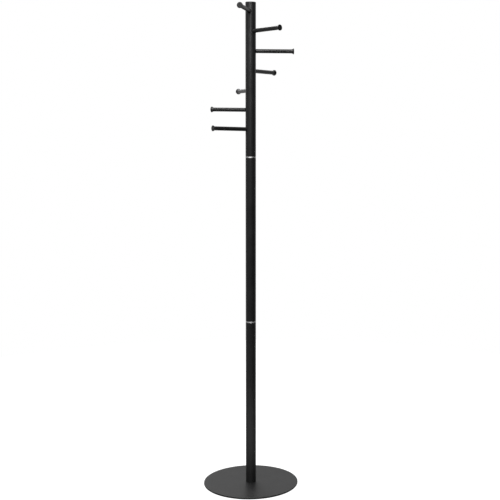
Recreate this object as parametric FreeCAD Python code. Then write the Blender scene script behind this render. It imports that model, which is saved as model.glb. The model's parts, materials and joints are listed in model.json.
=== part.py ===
import FreeCAD, Part
import math
import os

# A standing coat rack: a round steel foot, a pole of three tubes that screw together, and seven pegs.
# Millimetres, +Z up. The origin is on the floor, under the centre of the foot. The front faces -Y.
# Each sub-part is written to parts/NODE.step, where it lies when the rack is put together.

# Foot
PLATE_RADIUS = 177.0
PLATE_THICKNESS = 5.0
PLATE_ROUNDING = 0.9
PAD_COUNT = 6
PAD_RADIUS = 12.0
PAD_THICKNESS = 1.5
PAD_ROUNDING = 0.4
PAD_CIRCLE = 158.0  # radius of the circle that the pads stand on

# Pole
POLE_RADIUS = 19.0
WALL = 1.5
LOWER_LENGTH = 612.0
MIDDLE_LENGTH = 604.5
UPPER_LENGTH = 543.5
RING_HEIGHT = 5.0
RING_EDGE = 0.15  # chamfer of the rings
EDGE = 0.25  # chamfer of all other sawn and turned ends
MOUTH_ROUNDING = 0.6  # rounding of the upper tube's top edge, under the cap
CAP_HEIGHT = 7.5
CAP_ROUNDING = 1.0
CAP_SKIRT = 14.0
CAP_SKIRT_WALL = 2.5

# Screw joints between the tubes
POLE_THREAD_RADIUS = 8.0
POLE_THREAD_PITCH = 2.0
POLE_THREAD_TURNS = 12  # turns from tight to free
PLUG_LENGTH = 30.0
RING_BORE_RADIUS = 8.5

# Pegs
PEG_DIRECTIONS = [-100, -45.5, 8.5, 59.5, 111, 160.5, 214.5]  # from the top down, degrees from +X towards +Y
PEG_RISE = 0.7  # degrees above level
PEG_RADIUS = 7.25
PEG_REACH = 157.0  # pole axis to the peg's end face
PEG_BELOW_TOP = 32.5  # top of the pole to the first peg, on the pole's axis
PEG_SPACING = 70.0
FLARE_RADIUS = 10.5
FLARE_LENGTH = 8.5
LIP_LENGTH = 2.0
LIP_ROUNDING = 1.0
PEG_THREAD_RADIUS = 4.0
PEG_THREAD_PITCH = 1.25
PEG_THREAD_TURNS = 10
STUD_IN_PEG = 12.0
STUD_SOCKET = 4.0  # across flats

# Rivet nuts in the upper tube's wall
NUT_RADIUS = 5.45
NUT_LENGTH = 13.6
NUT_BULGE_RADIUS = 7.5
NUT_BULGE_LENGTH = 3.0
NUT_BULGE_ROUNDING = 0.8

# Countersunk screw through the foot
SCREW_HEAD_RADIUS = 8.3
SCREW_HEAD_RIM = 0.3
SCREW_LENGTH = 30.0
SCREW_SOCKET = 5.0  # across flats
SCREW_SOCKET_DEPTH = 2.8
SCREW_CLEARANCE = 0.2

# Fits
FIT_GAP = 0.05  # radial gap of plugs in tubes and of threads in their bores
SEAT_GAP = 0.1  # between a peg's root and the tube
BORE_SPARE = 1.0  # depth of a blind bore past its stud
THREAD_CHAMFER = 1.0

# Places worked out from the sizes above
PEG_COUNT = len(PEG_DIRECTIONS)
PLATE_TOP = PAD_THICKNESS + PLATE_THICKNESS
LOWER_TOP = PLATE_TOP + LOWER_LENGTH
MIDDLE_BOTTOM = LOWER_TOP + RING_HEIGHT
MIDDLE_TOP = MIDDLE_BOTTOM + MIDDLE_LENGTH
UPPER_BOTTOM = MIDDLE_TOP + RING_HEIGHT
UPPER_TOP = UPPER_BOTTOM + UPPER_LENGTH
POLE_TOP = UPPER_TOP + CAP_HEIGHT
TUBE_BORE = POLE_RADIUS - WALL
PLUG_RADIUS = TUBE_BORE - FIT_GAP
POLE_STUD_GRIP = POLE_THREAD_TURNS * POLE_THREAD_PITCH
POLE_STUD_BORE = POLE_THREAD_RADIUS + FIT_GAP
PEG_STUD_GRIP = PEG_THREAD_TURNS * PEG_THREAD_PITCH
PEG_STUD_BORE = PEG_THREAD_RADIUS + FIT_GAP
PEG_ROOT = POLE_RADIUS + SEAT_GAP
NUT_HOLE_RADIUS = NUT_RADIUS + FIT_GAP
NUT_FACE = math.sqrt(POLE_RADIUS**2 - NUT_RADIUS**2) - FIT_GAP
NUT_BULGE_TOP = math.sqrt(TUBE_BORE**2 - NUT_BULGE_RADIUS**2) - FIT_GAP

Vector = FreeCAD.Vector
ORIGIN = Vector(0, 0, 0)
UP = Vector(0, 0, 1)


def rounded_corner(before, corner, after, radius):
    """The start, middle and end point of the arc that rounds a corner of an outline."""
    to_before = (before - corner).normalize()
    to_after = (after - corner).normalize()
    half_angle = to_before.getAngle(to_after) / 2
    along = radius / math.tan(half_angle)
    inward = (to_before + to_after).normalize()
    centre = corner + inward * (radius / math.sin(half_angle))
    return corner + to_before * along, centre - inward * radius, corner + to_after * along


def revolved(edges):
    return Part.Face(Part.Wire(edges)).revolve(ORIGIN, UP, 360)


def turned(outline):
    """A solid of revolution about Z, from a closed outline of (radius, height) points.

    A third number in a point rounds the corner there with that radius.
    """
    points = [Vector(place[0], 0, place[1]) for place in outline]
    corners = []
    for i, point in enumerate(points):
        if len(outline[i]) == 3:
            following = points[(i + 1) % len(points)]
            corners.append(rounded_corner(points[i - 1], point, following, outline[i][2]))
        else:
            corners.append((point,))
    edges = []
    for i, corner in enumerate(corners):
        if len(corner) == 3:
            edges.append(Part.Arc(*corner).toShape())
        following = corners[(i + 1) % len(corners)]
        edges.append(Part.LineSegment(corner[-1], following[0]).toShape())
    return revolved(edges)


def pipe(outer, inner, bottom, top, edge=EDGE):
    """A straight pipe with chamfered outer edges."""
    return turned(
        [
            (inner, bottom),
            (outer - edge, bottom),
            (outer, bottom + edge),
            (outer, top - edge),
            (outer - edge, top),
            (inner, top),
        ]
    )


def threaded_rod(radius, pitch, bottom, top):
    """A rod with chamfered ends, grooved like a thread with closed rings one pitch apart."""
    groove_depth = 0.613 * pitch
    flat = pitch / 8
    slope = pitch / 2 - flat
    outline = [(0, bottom), (radius - THREAD_CHAMFER, bottom), (radius, bottom + THREAD_CHAMFER)]
    height = bottom + THREAD_CHAMFER + flat
    while height + pitch < top - THREAD_CHAMFER:
        outline.append((radius, height))
        outline.append((radius - groove_depth, height + slope))
        outline.append((radius - groove_depth, height + slope + flat))
        outline.append((radius, height + pitch - flat))
        height += pitch
    outline += [(radius, top - THREAD_CHAMFER), (radius - THREAD_CHAMFER, top), (0, top)]
    return turned(outline)


def hexagon_prism(across_flats, bottom, top):
    corner = across_flats / math.sqrt(3)
    points = []
    for k in range(7):
        angle = math.radians(60 * k)
        points.append(Vector(corner * math.cos(angle), corner * math.sin(angle), bottom))
    return Part.Face(Part.makePolygon(points)).extrude(UP * (top - bottom))


def base_plate():
    """The steel disc, with a countersunk hole for the screw that comes up through it."""
    head_hole = SCREW_HEAD_RADIUS + FIT_GAP
    shank_hole = PEG_THREAD_RADIUS + SCREW_CLEARANCE
    cone_bottom = PAD_THICKNESS + SCREW_HEAD_RIM
    return turned(
        [
            (head_hole, PAD_THICKNESS),
            (PLATE_RADIUS, PAD_THICKNESS, PLATE_ROUNDING),
            (PLATE_RADIUS, PLATE_TOP, PLATE_ROUNDING),
            (shank_hole, PLATE_TOP),
            (shank_hole, cone_bottom + head_hole - shank_hole),
            (head_hole, cone_bottom),
        ]
    )


def floor_pad(index):
    bottom_edge = (PAD_RADIUS, 0, PAD_ROUNDING)
    pad = turned([(0, 0), bottom_edge, (PAD_RADIUS, PAD_THICKNESS), (0, PAD_THICKNESS)])
    angle = 2 * math.pi * (index + 0.5) / PAD_COUNT
    pad.translate(Vector(PAD_CIRCLE * math.cos(angle), PAD_CIRCLE * math.sin(angle), 0))
    return pad


def base_screw():
    """The screw that holds the lower tube on the plate, its head flush with the plate's underside."""
    bottom = PAD_THICKNESS
    cone_bottom = bottom + SCREW_HEAD_RIM
    shank_bottom = PLATE_TOP + THREAD_CHAMFER
    head = turned(
        [
            (0, bottom),
            (SCREW_HEAD_RADIUS, bottom),
            (SCREW_HEAD_RADIUS, cone_bottom),
            (PEG_THREAD_RADIUS, cone_bottom + SCREW_HEAD_RADIUS - PEG_THREAD_RADIUS),
            (PEG_THREAD_RADIUS, shank_bottom),
            (0, shank_bottom),
        ]
    )
    shank = threaded_rod(PEG_THREAD_RADIUS, PEG_THREAD_PITCH, PLATE_TOP, bottom + SCREW_LENGTH)
    socket = hexagon_prism(SCREW_SOCKET, bottom, bottom + SCREW_SOCKET_DEPTH)
    return head.fuse(shank).cut(socket).removeSplitter()


def foot_plug():
    """The bored steel plug in the lower tube's foot, which the base screw holds."""
    return pipe(PLUG_RADIUS, PEG_STUD_BORE, PLATE_TOP, PLATE_TOP + PLUG_LENGTH)


def tube(bottom, length):
    return pipe(POLE_RADIUS, TUBE_BORE, bottom, bottom + length)


def stud_plug(top):
    """The steel plug in a tube's top end, with a blind bore that holds the joint's stud."""
    bore_bottom = top - POLE_STUD_GRIP - BORE_SPARE
    return turned(
        [
            (0, top - PLUG_LENGTH),
            (PLUG_RADIUS, top - PLUG_LENGTH, EDGE),
            (PLUG_RADIUS, top),
            (POLE_STUD_BORE, top),
            (POLE_STUD_BORE, bore_bottom),
            (0, bore_bottom),
        ]
    )


def pole_stud(tube_top):
    """The stud of a pole joint. It stands out of one tube, through the ring and into the next."""
    bottom = tube_top - POLE_STUD_GRIP
    top = tube_top + RING_HEIGHT + POLE_STUD_GRIP
    return threaded_rod(POLE_THREAD_RADIUS, POLE_THREAD_PITCH, bottom, top)


def pole_ring(bottom):
    """The bright ring that shows between two tubes."""
    return pipe(POLE_RADIUS, RING_BORE_RADIUS, bottom, bottom + RING_HEIGHT, RING_EDGE)


def socket_plug(bottom):
    """The bored steel plug in a tube's bottom end, which turns down on the stud."""
    return pipe(PLUG_RADIUS, POLE_STUD_BORE, bottom, bottom + PLUG_LENGTH)


def at_peg(shape, index):
    """The shape at a peg's place, where its Z runs from the pole's axis out along the peg."""
    placed = shape.copy()
    placed.rotate(ORIGIN, Vector(0, 1, 0), 90 - PEG_RISE)
    placed.rotate(ORIGIN, UP, PEG_DIRECTIONS[index])
    placed.translate(UP * (POLE_TOP - PEG_BELOW_TOP - PEG_SPACING * index))
    return placed


def at_all_pegs(shape):
    return Part.makeCompound([at_peg(shape, index) for index in range(PEG_COUNT)])


def upper_tube():
    """The top tube, with a round hole in its wall for each peg's rivet nut."""
    drill = Part.makeCylinder(NUT_HOLE_RADIUS, POLE_RADIUS, UP * (TUBE_BORE / 2))
    shape = turned(
        [
            (TUBE_BORE, UPPER_BOTTOM),
            (POLE_RADIUS - EDGE, UPPER_BOTTOM),
            (POLE_RADIUS, UPPER_BOTTOM + EDGE),
            (POLE_RADIUS, UPPER_TOP, MOUTH_ROUNDING),
            (TUBE_BORE, UPPER_TOP),
        ]
    )
    for index in range(PEG_COUNT):
        shape = shape.cut(at_peg(drill, index))
    return shape


def top_cap():
    """The cap that closes the pole, with a thin skirt inside the tube."""
    skirt_bore = PLUG_RADIUS - CAP_SKIRT_WALL
    skirt_bottom = UPPER_TOP - CAP_SKIRT
    return turned(
        [
            (skirt_bore, skirt_bottom),
            (PLUG_RADIUS, skirt_bottom, EDGE),
            (PLUG_RADIUS, UPPER_TOP),
            (POLE_RADIUS - EDGE, UPPER_TOP),
            (POLE_RADIUS, UPPER_TOP + EDGE),
            (POLE_RADIUS, POLE_TOP, CAP_ROUNDING),
            (0, POLE_TOP),
            (0, UPPER_TOP),
            (skirt_bore, UPPER_TOP),
        ]
    )


def rivet_nut():
    """A rivet nut along Z, its face just under the tube's surface and its bulge inside the wall."""
    inner_end = NUT_FACE - NUT_LENGTH
    bulge_bottom = NUT_BULGE_TOP - NUT_BULGE_LENGTH
    return turned(
        [
            (PEG_STUD_BORE, inner_end),
            (NUT_RADIUS, inner_end),
            (NUT_RADIUS, bulge_bottom),
            (NUT_BULGE_RADIUS, bulge_bottom, NUT_BULGE_ROUNDING),
            (NUT_BULGE_RADIUS, NUT_BULGE_TOP, NUT_BULGE_ROUNDING),
            (NUT_RADIUS, NUT_BULGE_TOP),
            (NUT_RADIUS, NUT_FACE),
            (PEG_STUD_BORE, NUT_FACE),
        ]
    )


def peg_stud():
    """The headless screw along Z that joins a peg to its rivet nut."""
    inner_end = PEG_ROOT - PEG_STUD_GRIP
    outer_end = PEG_ROOT + STUD_IN_PEG
    rod = threaded_rod(PEG_THREAD_RADIUS, PEG_THREAD_PITCH, inner_end, outer_end)
    return rod.cut(hexagon_prism(STUD_SOCKET, inner_end, inner_end + STUD_SOCKET))


def peg():
    """A peg along Z: a turned rod, bored in its root, that flares out to a flat tip."""
    bore_end = PEG_ROOT + STUD_IN_PEG + BORE_SPARE
    lip_bottom = PEG_REACH - LIP_LENGTH
    rise = FLARE_RADIUS - PEG_RADIUS
    sweep_radius = (rise**2 + FLARE_LENGTH**2) / (2 * rise)
    half_sweep = math.asin(FLARE_LENGTH / sweep_radius) / 2
    half_rise = sweep_radius * (1 - math.cos(half_sweep))
    flare_start = Vector(PEG_RADIUS, 0, lip_bottom - FLARE_LENGTH)
    flare_middle = flare_start + Vector(half_rise, 0, sweep_radius * math.sin(half_sweep))
    flare_end = Vector(FLARE_RADIUS, 0, lip_bottom)
    tip_edge = Vector(FLARE_RADIUS, 0, PEG_REACH)
    tip_centre = Vector(0, 0, PEG_REACH)
    lip = rounded_corner(flare_end, tip_edge, tip_centre, LIP_ROUNDING)
    root_line = [
        tip_centre,
        Vector(0, 0, bore_end),
        Vector(PEG_STUD_BORE, 0, bore_end),
        Vector(PEG_STUD_BORE, 0, PEG_ROOT),
        Vector(PEG_RADIUS - EDGE, 0, PEG_ROOT),
        Vector(PEG_RADIUS, 0, PEG_ROOT + EDGE),
        flare_start,
    ]
    edges = [Part.LineSegment(start, end).toShape() for start, end in zip(root_line, root_line[1:])]
    edges.append(Part.Arc(flare_start, flare_middle, flare_end).toShape())
    edges.append(Part.LineSegment(flare_end, lip[0]).toShape())
    edges.append(Part.Arc(*lip).toShape())
    edges.append(Part.LineSegment(lip[2], tip_centre).toShape())
    return revolved(edges)


def save(node, shape):
    for solid in shape.Solids:
        if not solid.isValid() or solid.Volume <= 0:
            raise ValueError(node + " is not a good solid")
    shape.exportStep("parts/" + node + ".step")


def main():
    os.makedirs("parts", exist_ok=True)
    save("base_plate", base_plate())
    for index in range(PAD_COUNT):
        save("floor_pad_" + str(index + 1), floor_pad(index))
    save("base_screw", base_screw())
    save("foot_plug", foot_plug())
    save("lower_tube", tube(PLATE_TOP, LOWER_LENGTH))
    save("lower_stud_plug", stud_plug(LOWER_TOP))
    save("lower_stud", pole_stud(LOWER_TOP))
    save("lower_ring", pole_ring(LOWER_TOP))
    save("middle_socket", socket_plug(MIDDLE_BOTTOM))
    save("middle_tube", tube(MIDDLE_BOTTOM, MIDDLE_LENGTH))
    save("middle_stud_plug", stud_plug(MIDDLE_TOP))
    save("middle_stud", pole_stud(MIDDLE_TOP))
    save("upper_ring", pole_ring(MIDDLE_TOP))
    save("upper_socket", socket_plug(UPPER_BOTTOM))
    save("upper_tube", upper_tube())
    save("top_cap", top_cap())
    save("peg_rivet_nuts", at_all_pegs(rivet_nut()))
    save("peg_studs", at_all_pegs(peg_stud()))
    for index in range(PEG_COUNT):
        save("peg_" + str(index + 1), at_peg(peg(), index))


main()
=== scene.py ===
import json
import math

import bmesh
import bpy
from mathutils import Matrix, Vector


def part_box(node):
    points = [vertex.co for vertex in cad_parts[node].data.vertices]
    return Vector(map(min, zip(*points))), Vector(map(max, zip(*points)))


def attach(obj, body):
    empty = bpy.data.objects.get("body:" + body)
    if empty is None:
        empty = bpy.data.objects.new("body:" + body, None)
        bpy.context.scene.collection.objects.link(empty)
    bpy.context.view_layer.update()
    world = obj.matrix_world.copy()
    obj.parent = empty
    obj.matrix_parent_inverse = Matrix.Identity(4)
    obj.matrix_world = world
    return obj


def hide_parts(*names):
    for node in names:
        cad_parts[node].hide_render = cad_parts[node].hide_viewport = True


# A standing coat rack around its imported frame. Metres, +Z up, the front faces -Y.

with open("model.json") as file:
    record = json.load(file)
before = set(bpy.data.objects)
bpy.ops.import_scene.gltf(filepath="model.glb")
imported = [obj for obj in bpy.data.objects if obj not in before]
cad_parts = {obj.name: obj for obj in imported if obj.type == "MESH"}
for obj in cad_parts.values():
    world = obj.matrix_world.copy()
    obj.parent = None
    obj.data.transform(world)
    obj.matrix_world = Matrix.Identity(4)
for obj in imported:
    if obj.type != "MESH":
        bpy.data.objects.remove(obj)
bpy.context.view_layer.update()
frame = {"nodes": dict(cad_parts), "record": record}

NODES = frame["nodes"]
BODIES = frame["record"]["behaviour"]["bodies"]
SLOT_OF = {part["node"]: part["material_slot"] for part in frame["record"]["subparts"]}
PLATE_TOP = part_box("base_plate")[1].z

# Camera
CAMERA_SIDE = 0.239  # to the right of the pole
CAMERA_DISTANCE = 3.5506
CAMERA_HEIGHT = 1.2989  # above the plate
CAMERA_PITCH = math.radians(6.66)  # downwards
CAMERA_ROLL = math.radians(0.41)
CAMERA_LENS = 69.69
CAMERA_SENSOR = 36.0
CAMERA_SHIFT = -0.131

# Floor that the camera sees
FLOOR_RADIUS = 2.6
FLOOR_GLOW = 0.95
PAINTED_FOOT_SHADOW = 0.004  # how far the painted shadow under the foot reaches in from its edge

# Floor light that only the rack reflects
BOUNCE_RADIUS = 0.8
BOUNCE_HEIGHT = 0.0002
BOUNCE_NEAR = 0.2  # glow close to the foot
BOUNCE_FAR = 0.1  # added further out
BOUNCE_FAR_START, BOUNCE_FAR_FULL = 0.45, 0.55  # distances from the pole's axis
BOUNCE_FRONT = 1.05  # added further out at the front
BOUNCE_FRONT_START, BOUNCE_FRONT_FULL = -0.15, -0.45  # places along Y

# Backdrop. A glow starts and is full where the unit vector away from the rack has these parts.
BACKDROP_GLOW = 0.64  # behind the rack
BACKDROP_START, BACKDROP_FULL = 0.0, 0.8  # along Y
BACKDROP_TOP_GLOW = 0.14  # added higher up, where the plate mirrors it
BACKDROP_TOP_START, BACKDROP_TOP_FULL = 0.15, 0.4  # along Z
LEFT_GLOW = 0.16
LEFT_START, LEFT_FULL = 0.0, -0.8  # along X

# Softboxes: name, side and height as seen from the rack in degrees, distance, width, power in watts
LIGHT_AIM = 0.95  # height that they face
SOFTBOXES = [
    ("front", 0, 38, 3.6, 1.4, 71),
    ("left", -40, 46, 3.6, 1.4, 53),
    ("overhead", 10, 58, 2.4, 1.0, 13),
    ("rim", -150, 40, 3.6, 1.6, 27),
]

# Most of a noise lies between these values
NOISE_LOW, NOISE_HIGH = 0.3, 0.7

# Thread of the two pole studs
THREAD_PITCH = 0.002
THREAD_DEPTH = 0.613 * THREAD_PITCH
THREAD_CHAMFER = 0.0013
THREAD_COLUMNS = 72
THREAD_MERGE = 1e-7  # points nearer than this become one
# How far along one pitch, and how deep as a share of the depth: crest, flank, root, flank
THREAD_PROFILE = [
    (0.00, 0.05),
    (0.03, 0.00),
    (0.10, 0.00),
    (0.13, 0.05),
    (0.42, 0.95),
    (0.46, 1.00),
    (0.67, 1.00),
    (0.71, 0.95),
]


def new_material(name):
    """An empty node material, its node maker, its linker and its Principled shader."""
    material = bpy.data.materials.new(name)
    material.use_nodes = True
    tree = material.node_tree
    shader = next(node for node in tree.nodes if node.type == "BSDF_PRINCIPLED")
    return material, tree, shader


def make_node(tree, kind, **settings):
    """A node of that kind. Names in capitals set inputs, and the others set properties."""
    node = tree.nodes.new(kind)
    for name, value in settings.items():
        if name[0].isupper():
            node.inputs[name.replace("_", " ")].default_value = value
        else:
            setattr(node, name, value)
    return node


def place_in_object(tree, stretch=(1, 1, 1)):
    """Object coordinates in metres, stretched along the axes."""
    place = make_node(tree, "ShaderNodeTexCoord")
    mapping = make_node(tree, "ShaderNodeMapping")
    mapping.inputs["Scale"].default_value = stretch
    tree.links.new(place.outputs["Object"], mapping.inputs["Vector"])
    return mapping.outputs["Vector"]


def noise(tree, place, grain, detail=3.0, roughness=0.5):
    """Noise whose features are about one grain wide, in metres."""
    node = make_node(tree, "ShaderNodeTexNoise", Scale=1 / grain, Detail=detail, Roughness=roughness)
    tree.links.new(place, node.inputs["Vector"])
    return node.outputs["Fac"]


def ramp(tree, value, low, high):
    """Spreads the middle of a noise over the range from low to high."""
    node = make_node(tree, "ShaderNodeMapRange", From_Min=NOISE_LOW, From_Max=NOISE_HIGH)
    node.inputs["To Min"].default_value = low
    node.inputs["To Max"].default_value = high
    tree.links.new(value, node.inputs["Value"])
    return node.outputs["Result"]


def blend_colours(tree, value, dark, light):
    """Spreads the middle of a noise over the colours from dark to light."""
    node = make_node(tree, "ShaderNodeValToRGB")
    node.color_ramp.elements[0].position = NOISE_LOW
    node.color_ramp.elements[1].position = NOISE_HIGH
    node.color_ramp.elements[0].color = (*dark, 1)
    node.color_ramp.elements[1].color = (*light, 1)
    tree.links.new(value, node.inputs["Fac"])
    return node.outputs["Color"]


def add_bump(tree, height, depth, strength=1.0, under=None):
    """A bump of that depth in metres, on top of another one if it is given."""
    node = make_node(tree, "ShaderNodeBump", Strength=strength, Distance=depth)
    tree.links.new(height, node.inputs["Height"])
    if under:
        tree.links.new(under, node.inputs["Normal"])
    return node.outputs["Normal"]


def fade(tree, value, start, end):
    """A smooth step from 0 at start to 1 at end."""
    node = make_node(tree, "ShaderNodeMapRange", From_Min=start, From_Max=end)
    node.interpolation_type = "SMOOTHSTEP"
    tree.links.new(value, node.inputs["Value"])
    return node.outputs["Result"]


def combine(tree, operation, first, second):
    """Two values, each a number or a node's output, joined by a sum or a product."""
    node = make_node(tree, "ShaderNodeMath", operation=operation)
    for socket, value in zip(node.inputs, (first, second)):
        if isinstance(value, float):
            socket.default_value = value
        else:
            tree.links.new(value, socket)
    return node.outputs["Value"]


def length_of(tree, vector):
    node = make_node(tree, "ShaderNodeVectorMath", operation="LENGTH")
    tree.links.new(vector, node.inputs[0])
    return node.outputs["Value"]


def powder_coat(name, least_rough, most_rough):
    """Black powder coat: a fine, even grain over a faint orange peel.

    Its roughness drifts between the two values given.
    """
    material, tree, shader = new_material(name)
    place = place_in_object(tree)
    grain = noise(tree, place, 0.0008, detail=2.0)
    peel = noise(tree, place, 0.0035, detail=1.0)
    cloud = noise(tree, place, 0.06, detail=4.0)
    colour = blend_colours(tree, cloud, (0.011, 0.011, 0.0112), (0.0145, 0.0145, 0.0148))
    tree.links.new(colour, shader.inputs["Base Color"])
    tree.links.new(ramp(tree, cloud, least_rough, most_rough), shader.inputs["Roughness"])
    normal = add_bump(tree, peel, 0.0001, 0.6)
    normal = add_bump(tree, grain, 0.00008, 0.8, normal)
    tree.links.new(normal, shader.inputs["Normal"])
    shader.inputs["Specular IOR Level"].default_value = 0.5
    return material


def polished_steel():
    """Steel turned on a lathe: fine lines round the pole, which spread its gloss up and down."""
    material, tree, shader = new_material("polished_steel")
    lines = noise(tree, place_in_object(tree, (0.02, 0.02, 1)), 0.00012, detail=4.0)
    cloud = noise(tree, place_in_object(tree), 0.008, detail=3.0)
    colour = blend_colours(tree, cloud, (0.61, 0.61, 0.61), (0.69, 0.69, 0.69))
    tree.links.new(colour, shader.inputs["Base Color"])
    tree.links.new(ramp(tree, lines, 0.56, 0.64), shader.inputs["Roughness"])
    tree.links.new(add_bump(tree, lines, 0.000004, 0.5), shader.inputs["Normal"])
    round_the_pole = make_node(tree, "ShaderNodeTangent", direction_type="RADIAL", axis="Z")
    tree.links.new(round_the_pole.outputs["Tangent"], shader.inputs["Tangent"])
    shader.inputs["Anisotropic"].default_value = 0.5
    shader.inputs["Anisotropic Rotation"].default_value = 0.25
    shader.inputs["Metallic"].default_value = 1.0
    return material


def zinc_steel():
    """Bright zinc plate, slightly cloudy."""
    material, tree, shader = new_material("zinc_steel")
    place = place_in_object(tree)
    cloud = noise(tree, place, 0.004, detail=5.0)
    grain = noise(tree, place, 0.0003, detail=2.0)
    colour = blend_colours(tree, cloud, (0.46, 0.48, 0.5), (0.6, 0.6, 0.58))
    tree.links.new(colour, shader.inputs["Base Color"])
    tree.links.new(ramp(tree, cloud, 0.26, 0.42), shader.inputs["Roughness"])
    tree.links.new(add_bump(tree, grain, 0.00001, 0.5), shader.inputs["Normal"])
    shader.inputs["Metallic"].default_value = 1.0
    return material


def pad_foam():
    """Dark closed-cell foam."""
    material, tree, shader = new_material("pad_foam")
    place = place_in_object(tree)
    cells = make_node(tree, "ShaderNodeTexVoronoi", Scale=1 / 0.0007)
    tree.links.new(place, cells.inputs["Vector"])
    cloud = noise(tree, place, 0.004)
    colour = blend_colours(tree, cloud, (0.03, 0.03, 0.031), (0.05, 0.05, 0.052))
    tree.links.new(colour, shader.inputs["Base Color"])
    tree.links.new(ramp(tree, cloud, 0.8, 0.95), shader.inputs["Roughness"])
    tree.links.new(add_bump(tree, cells.outputs["Distance"], 0.0001, 0.6), shader.inputs["Normal"])
    return material


def pale_floor():
    """White floor that glows as pale as the room behind it, with its glow faded out under the foot as a
    painted shadow.
    """
    material, tree, shader = new_material("pale_floor")
    place = place_in_object(tree)
    cloud = noise(tree, place, 0.8)
    colour = blend_colours(tree, cloud, (0.34, 0.34, 0.34), (0.36, 0.36, 0.36))
    tree.links.new(colour, shader.inputs["Base Color"])
    shader.inputs["Roughness"].default_value = 0.9
    shader.inputs["Specular IOR Level"].default_value = 0.1
    foot_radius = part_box("base_plate")[1].x
    # Painted shadow: the glow fades to nothing inside the foot's edge, so the floor under the plate shows
    # dark.
    clear = fade(tree, length_of(tree, place), foot_radius - PAINTED_FOOT_SHADOW, foot_radius)
    shader.inputs["Emission Color"].default_value = (1, 1, 1, 1)
    tree.links.new(combine(tree, "MULTIPLY", clear, FLOOR_GLOW), shader.inputs["Emission Strength"])
    return material


def bounce_glow():
    """Light off the floor near the rack, strongest at the front."""
    material, tree, shader = new_material("bounce_glow")
    place = place_in_object(tree)
    axes = make_node(tree, "ShaderNodeSeparateXYZ")
    tree.links.new(place, axes.inputs[0])
    at_front = fade(tree, axes.outputs["Y"], BOUNCE_FRONT_START, BOUNCE_FRONT_FULL)
    glow = combine(tree, "ADD", combine(tree, "MULTIPLY", at_front, BOUNCE_FRONT), BOUNCE_FAR)
    further_out = fade(tree, length_of(tree, place), BOUNCE_FAR_START, BOUNCE_FAR_FULL)
    glow = combine(tree, "ADD", combine(tree, "MULTIPLY", glow, further_out), BOUNCE_NEAR)
    shader.inputs["Base Color"].default_value = (0, 0, 0, 1)
    shader.inputs["Emission Color"].default_value = (1, 1, 1, 1)
    tree.links.new(glow, shader.inputs["Emission Strength"])
    return material


def dress(thing, material):
    """Gives the whole of a thing one material."""
    thing.data.materials.clear()
    thing.data.materials.append(material)


def helical_thread(name, node):
    """A right-hand threaded rod in the place of a CAD stud, with the thread as a real helix."""
    low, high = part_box(node)
    radius = (high.x - low.x) / 2
    centre = (low + high) / 2
    rows_per_pitch = len(THREAD_PROFILE)
    row_count = math.ceil((high.z - low.z) / THREAD_PITCH + 2) * rows_per_pitch
    mesh = bmesh.new()
    columns = []
    for i in range(THREAD_COLUMNS):
        turn = i / THREAD_COLUMNS
        angle = 2 * math.pi * turn
        column = []
        for j in range(row_count):
            along, share = THREAD_PROFILE[j % rows_per_pitch]
            height = low.z + THREAD_PITCH * (j // rows_per_pitch - 1 + along + turn)
            height = min(max(height, low.z), high.z)
            from_end = min(height - low.z, high.z - height)
            reach = min(radius - share * THREAD_DEPTH, radius - THREAD_CHAMFER + from_end)
            x = centre.x + reach * math.cos(angle)
            y = centre.y + reach * math.sin(angle)
            column.append(mesh.verts.new((x, y, height)))
        columns.append(column)
    for i in range(THREAD_COLUMNS):
        here = columns[i]
        if i + 1 < THREAD_COLUMNS:
            after = columns[i + 1]
        else:
            after = columns[0][rows_per_pitch:]
        for j in range(min(len(here), len(after)) - 1):
            mesh.faces.new((here[j], after[j], after[j + 1], here[j + 1]))
    bmesh.ops.remove_doubles(mesh, verts=mesh.verts, dist=THREAD_MERGE)
    bmesh.ops.holes_fill(mesh, edges=mesh.edges, sides=0)
    bmesh.ops.recalc_face_normals(mesh, faces=mesh.faces)
    for face in mesh.faces:
        face.smooth = len(face.verts) <= 4  # all but the two ends
    data = bpy.data.meshes.new(name)
    mesh.to_mesh(data)
    mesh.free()
    stud = bpy.data.objects.new(name, data)
    bpy.context.scene.collection.objects.link(stud)
    return stud


def add_disc(name, radius, height, material):
    """A flat disc that is part of the studio."""
    bpy.ops.mesh.primitive_circle_add(vertices=96, radius=radius, fill_type="NGON", location=(0, 0, height))
    disc = bpy.context.object
    disc.name = name
    disc.visible_shadow = False
    dress(disc, material)
    return disc


def add_floor():
    """A pale disc that the camera sees, and one that only the rack reflects."""
    floor = add_disc("floor", FLOOR_RADIUS, 0, pale_floor())
    floor.visible_diffuse = False
    floor.visible_glossy = False
    bounce = add_disc("bounce", BOUNCE_RADIUS, BOUNCE_HEIGHT, bounce_glow())
    bounce.visible_camera = False


def add_softbox(name, side, height, distance, width, power):
    """A square light that faces the rack, from side and height in degrees. Side 0 is the front."""
    side = math.radians(side)
    height = math.radians(height)
    outwards = Vector((
        math.sin(side) * math.cos(height),
        -math.cos(side) * math.cos(height),
        math.sin(height),
    ))
    data = bpy.data.lights.new(name, "AREA")
    data.shape = "SQUARE"
    data.size = width
    data.energy = power
    light = bpy.data.objects.new(name, data)
    bpy.context.scene.collection.objects.link(light)
    light.location = Vector((0, 0, LIGHT_AIM)) + outwards * distance
    light.rotation_euler = (-outwards).to_track_quat("-Z", "Y").to_euler()
    light.visible_camera = False


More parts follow.
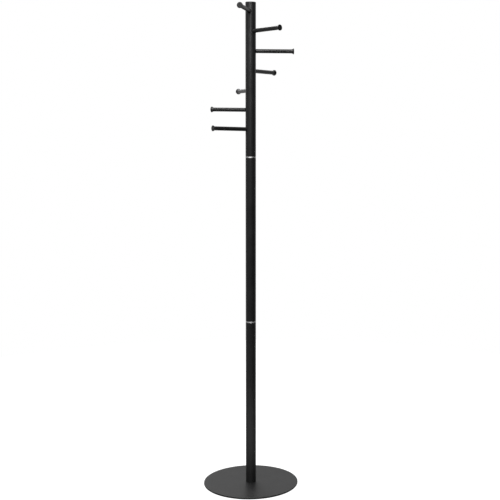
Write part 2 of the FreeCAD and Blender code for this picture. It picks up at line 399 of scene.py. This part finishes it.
def add_world():
    """A studio that glows behind the rack and to its left, and looks white to the camera."""
    world = bpy.data.worlds.new("studio")
    bpy.context.scene.world = world
    world.use_nodes = True
    tree = world.node_tree
    tree.nodes.clear()
    direction = make_node(tree, "ShaderNodeTexCoord")
    axes = make_node(tree, "ShaderNodeSeparateXYZ")
    tree.links.new(direction.outputs["Generated"], axes.inputs[0])
    behind = fade(tree, axes.outputs["Y"], BACKDROP_START, BACKDROP_FULL)
    to_the_left = fade(tree, axes.outputs["X"], LEFT_START, LEFT_FULL)
    high_up = fade(tree, axes.outputs["Z"], BACKDROP_TOP_START, BACKDROP_TOP_FULL)
    glow = combine(tree, "ADD", combine(tree, "MULTIPLY", high_up, BACKDROP_TOP_GLOW), BACKDROP_GLOW)
    glow = combine(tree, "MULTIPLY", behind, glow)
    glow = combine(tree, "ADD", glow, combine(tree, "MULTIPLY", to_the_left, LEFT_GLOW))
    lit = make_node(tree, "ShaderNodeBackground")
    tree.links.new(glow, lit.inputs["Strength"])
    white = make_node(tree, "ShaderNodeBackground", Color=(1, 1, 1, 1), Strength=1.0)
    path = make_node(tree, "ShaderNodeLightPath")
    mix = make_node(tree, "ShaderNodeMixShader")
    output = make_node(tree, "ShaderNodeOutputWorld")
    tree.links.new(path.outputs["Is Camera Ray"], mix.inputs[0])
    tree.links.new(lit.outputs[0], mix.inputs[1])
    tree.links.new(white.outputs[0], mix.inputs[2])
    tree.links.new(mix.outputs[0], output.inputs["Surface"])


def add_camera():
    data = bpy.data.cameras.new("camera")
    data.lens = CAMERA_LENS
    data.sensor_width = CAMERA_SENSOR
    data.shift_x = CAMERA_SHIFT
    camera = bpy.data.objects.new("camera", data)
    bpy.context.scene.collection.objects.link(camera)
    place = Matrix.Translation((CAMERA_SIDE, -CAMERA_DISTANCE, PLATE_TOP + CAMERA_HEIGHT))
    tilt = Matrix.Rotation(math.pi / 2 - CAMERA_PITCH, 4, "X")
    roll = Matrix.Rotation(CAMERA_ROLL, 4, "Z")
    camera.matrix_world = place @ tilt @ roll
    bpy.context.scene.camera = camera


MATERIALS = {
    "powder_coat": powder_coat("powder_coat", 0.34, 0.39),
    "polished_steel": polished_steel(),
    "zinc_steel": zinc_steel(),
    "pad_foam": pad_foam(),
}
for node, thing in NODES.items():
    dress(thing, MATERIALS[SLOT_OF[node]])
dress(NODES["base_plate"], powder_coat("plate_powder_coat", 0.41, 0.46))  # a little rougher there

for node, body in (("lower_stud", "lower_section"), ("middle_stud", "middle_section")):
    stud = helical_thread(node + "_thread", node)
    dress(stud, MATERIALS["zinc_steel"])
    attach(stud, body)
    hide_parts(node)

add_floor()
add_world()
for softbox in SOFTBOXES:
    add_softbox(*softbox)
add_camera()
bpy.context.scene.view_settings.view_transform = "Standard"
